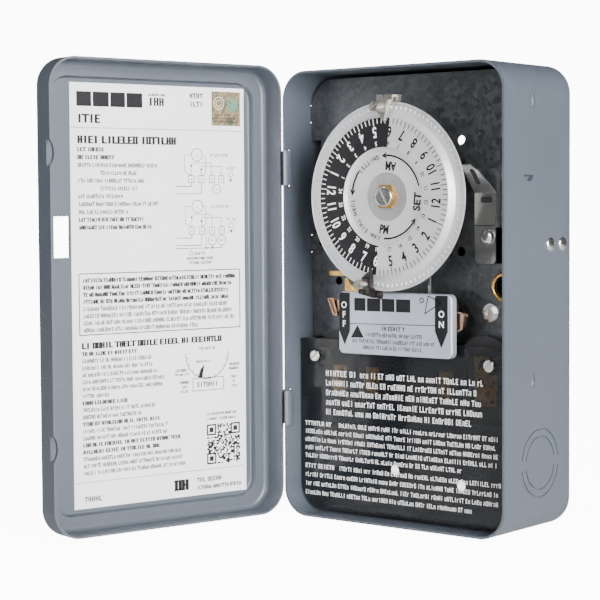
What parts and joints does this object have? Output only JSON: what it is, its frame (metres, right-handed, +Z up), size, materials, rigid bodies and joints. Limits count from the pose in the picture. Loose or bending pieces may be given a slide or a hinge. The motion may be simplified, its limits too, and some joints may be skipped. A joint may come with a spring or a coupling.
{
  "type": "24-hour electromechanical time switch",
  "caption": "Wall-mounted mechanical time switch in a drawn steel case, hinged door standing open, with a 24-hour dial, trippers, override rocker and shielded terminals.",
  "frame": {"origin": "middle of the case's back face, in the wall's plane", "axes": "+Y points back into the wall, -Y is the front that a user faces, +Z is up, +X is to the right as seen from the front"},
  "size_m": [0.1547, 0.1647, 0.1945],
  "materials": {
    "case_body": "satin grey-blue powder coat on drawn steel",
    "wall_bracket": "zinc plated steel",
    "bracket_rivets": "bright aluminium rivet heads",
    "movement_plate": "galvanised steel, dark passivated spangle",
    "dial_bush": "turned brass",
    "drive_motor": "plated steel can",
    "motor_cap": "black moulding",
    "nameplate": "satin lacquered sheet with printed panels",
    "nameplate_studs": "plated steel",
    "rocker_pivot": "plated steel",
    "lever_base": "bright plated spring steel",
    "lever_rivet": "bright domed rivet",
    "brass_eyelet": "rolled brass",
    "plate_screw": "zinc plated",
    "plate_washer": "zinc plated",
    "pivot_bracket": "bright brass",
    "toggle_link": "copper coloured brass",
    "terminal_board": "black phenolic moulding",
    "housing_cover": "fibre sheet",
    "terminal_strap_1": "pressed brass",
    "terminal_strap_2": "pressed brass",
    "terminal_strap_3": "pressed brass",
    "terminal_strap_4": "pressed brass",
    "terminal_clamps": "pressed brass",
    "terminal_screws": "slotted brass",
    "fixed_contacts": "silver faced brass",
    "insulating_shield": "clear smoked sheet with printed text block",
    "shield_posts": "plated steel",
    "shield_screws": "zinc plated, slotted",
    "door_panel": "satin grey-blue powder coat on drawn steel",
    "instruction_label": "printed paper label",
    "dial_plate": "satin aluminium with printed face",
    "dial_gear": "white moulded wheel",
    "dial_arbor": "ground steel",
    "arbor_clip": "spring steel",
    "hub_disc": "brushed aluminium",
    "dial_nut": "turned brass",
    "dial_screw": "bright slotted screw",
    "drive_pinion": "cut steel",
    "on_tripper": "black oxide steel",
    "on_thumbscrew": "nickel plated",
    "off_tripper": "black oxide steel",
    "off_thumbscrew": "nickel plated",
    "override_rocker": "dark brown moulding with a worn bright edge",
    "trip_finger": "spring wire",
    "lift_pin": "plated steel",
    "contact_carrier": "brown moulding",
    "moving_contacts": "silver faced brass",
    "latch_lever": "bright plated spring steel"
  },
  "bodies": {
    "case": {"case_body": "case_body", "wall_bracket": "wall_bracket", "bracket_rivets": "bracket_rivets", "movement_plate": "movement_plate", "dial_bush": "dial_bush", "drive_motor": "drive_motor", "motor_cap": "motor_cap", "nameplate": "nameplate", "nameplate_studs": "nameplate_studs", "rocker_pivot": "rocker_pivot", "lever_base": "lever_base", "lever_rivet": "lever_rivet", "brass_eyelet": "brass_eyelet", "plate_screw": "plate_screw", "plate_washer": "plate_washer", "pivot_bracket": "pivot_bracket", "toggle_link": "toggle_link", "terminal_board": "terminal_board", "housing_cover": "housing_cover", "terminal_strap_1": "terminal_strap_1", "terminal_strap_2": "terminal_strap_2", "terminal_strap_3": "terminal_strap_3", "terminal_strap_4": "terminal_strap_4", "terminal_clamps": "terminal_clamps", "terminal_screws": "terminal_screws", "fixed_contacts": "fixed_contacts", "insulating_shield": "insulating_shield", "shield_posts": "shield_posts", "shield_screws": "shield_screws"},
    "door": {"door_panel": "door_panel", "instruction_label": "instruction_label"},
    "dial": {"dial_plate": "dial_plate", "dial_gear": "dial_gear", "dial_arbor": "dial_arbor", "arbor_clip": "arbor_clip", "hub_disc": "hub_disc", "dial_nut": "dial_nut", "dial_screw": "dial_screw"},
    "motor_pinion": {"drive_pinion": "drive_pinion"},
    "on_tripper": {"on_tripper": "on_tripper"},
    "on_thumbscrew": {"on_thumbscrew": "on_thumbscrew"},
    "off_tripper": {"off_tripper": "off_tripper"},
    "off_thumbscrew": {"off_thumbscrew": "off_thumbscrew"},
    "rocker": {"override_rocker": "override_rocker", "trip_finger": "trip_finger", "lift_pin": "lift_pin"},
    "contact_carrier": {"contact_carrier": "contact_carrier", "moving_contacts": "moving_contacts"},
    "latch_lever": {"latch_lever": "latch_lever"}
  },
  "joints": [
    {"name": "door_swing", "type": "hinge", "parent": "case", "child": "door", "pos_m": [-0.0568, -0.0543, 0.0016], "axis": [0, 0, -1], "range_deg": [-104, 66]},
    {"name": "dial_spin", "type": "hinge", "parent": "case", "child": "dial", "pos_m": [0.0006, -0.055, 0.0419], "axis": [0, -1, 0], "continuous": true},
    {"name": "motor_pinion_spin", "type": "hinge", "parent": "case", "child": "motor_pinion", "pos_m": [-0.01977, -0.046, 0.06227], "axis": [0, -1, 0], "continuous": true},
    {"name": "on_tripper_set", "type": "hinge", "parent": "dial", "child": "on_tripper", "pos_m": [0.0006, -0.057, 0.0419], "axis": [0, -1, 0], "range_deg": [-75, 75]},
    {"name": "off_tripper_set", "type": "hinge", "parent": "dial", "child": "off_tripper", "pos_m": [0.0006, -0.057, 0.0419], "axis": [0, -1, 0], "range_deg": [-75, 75]},
    {"name": "on_thumbscrew_turn", "type": "hinge", "parent": "on_tripper", "child": "on_thumbscrew", "pos_m": [0.00206, -0.062, 0.07857], "axis": [0, -1, 0], "continuous": true},
    {"name": "off_thumbscrew_turn", "type": "hinge", "parent": "off_tripper", "child": "off_thumbscrew", "pos_m": [-0.00654, -0.062, 0.0059], "axis": [0, -1, 0], "continuous": true},
    {"name": "rocker_tilt", "type": "hinge", "parent": "case", "child": "rocker", "pos_m": [0, -0.045, -0.0046], "axis": [0, -1, 0], "range_deg": [0, 10]},
    {"name": "contact_lift", "type": "slide", "parent": "case", "child": "contact_carrier", "axis": [0, 0, 1], "range_m": [0, 0.0017]},
    {"name": "latch_flex", "type": "hinge", "parent": "case", "child": "latch_lever", "pos_m": [0.0374, -0.0362, 0.0296], "axis": [1, 0, 0], "range_deg": [0, 6], "stiffness_Nm_per_rad": 0.3}
  ],
  "couplings": [
    {"joint": "motor_pinion_spin", "follows": "dial_spin", "ratio": -8},
    {"joint": "contact_lift", "follows": "rocker_tilt", "m_per_rad": 0.0095}
  ]
}
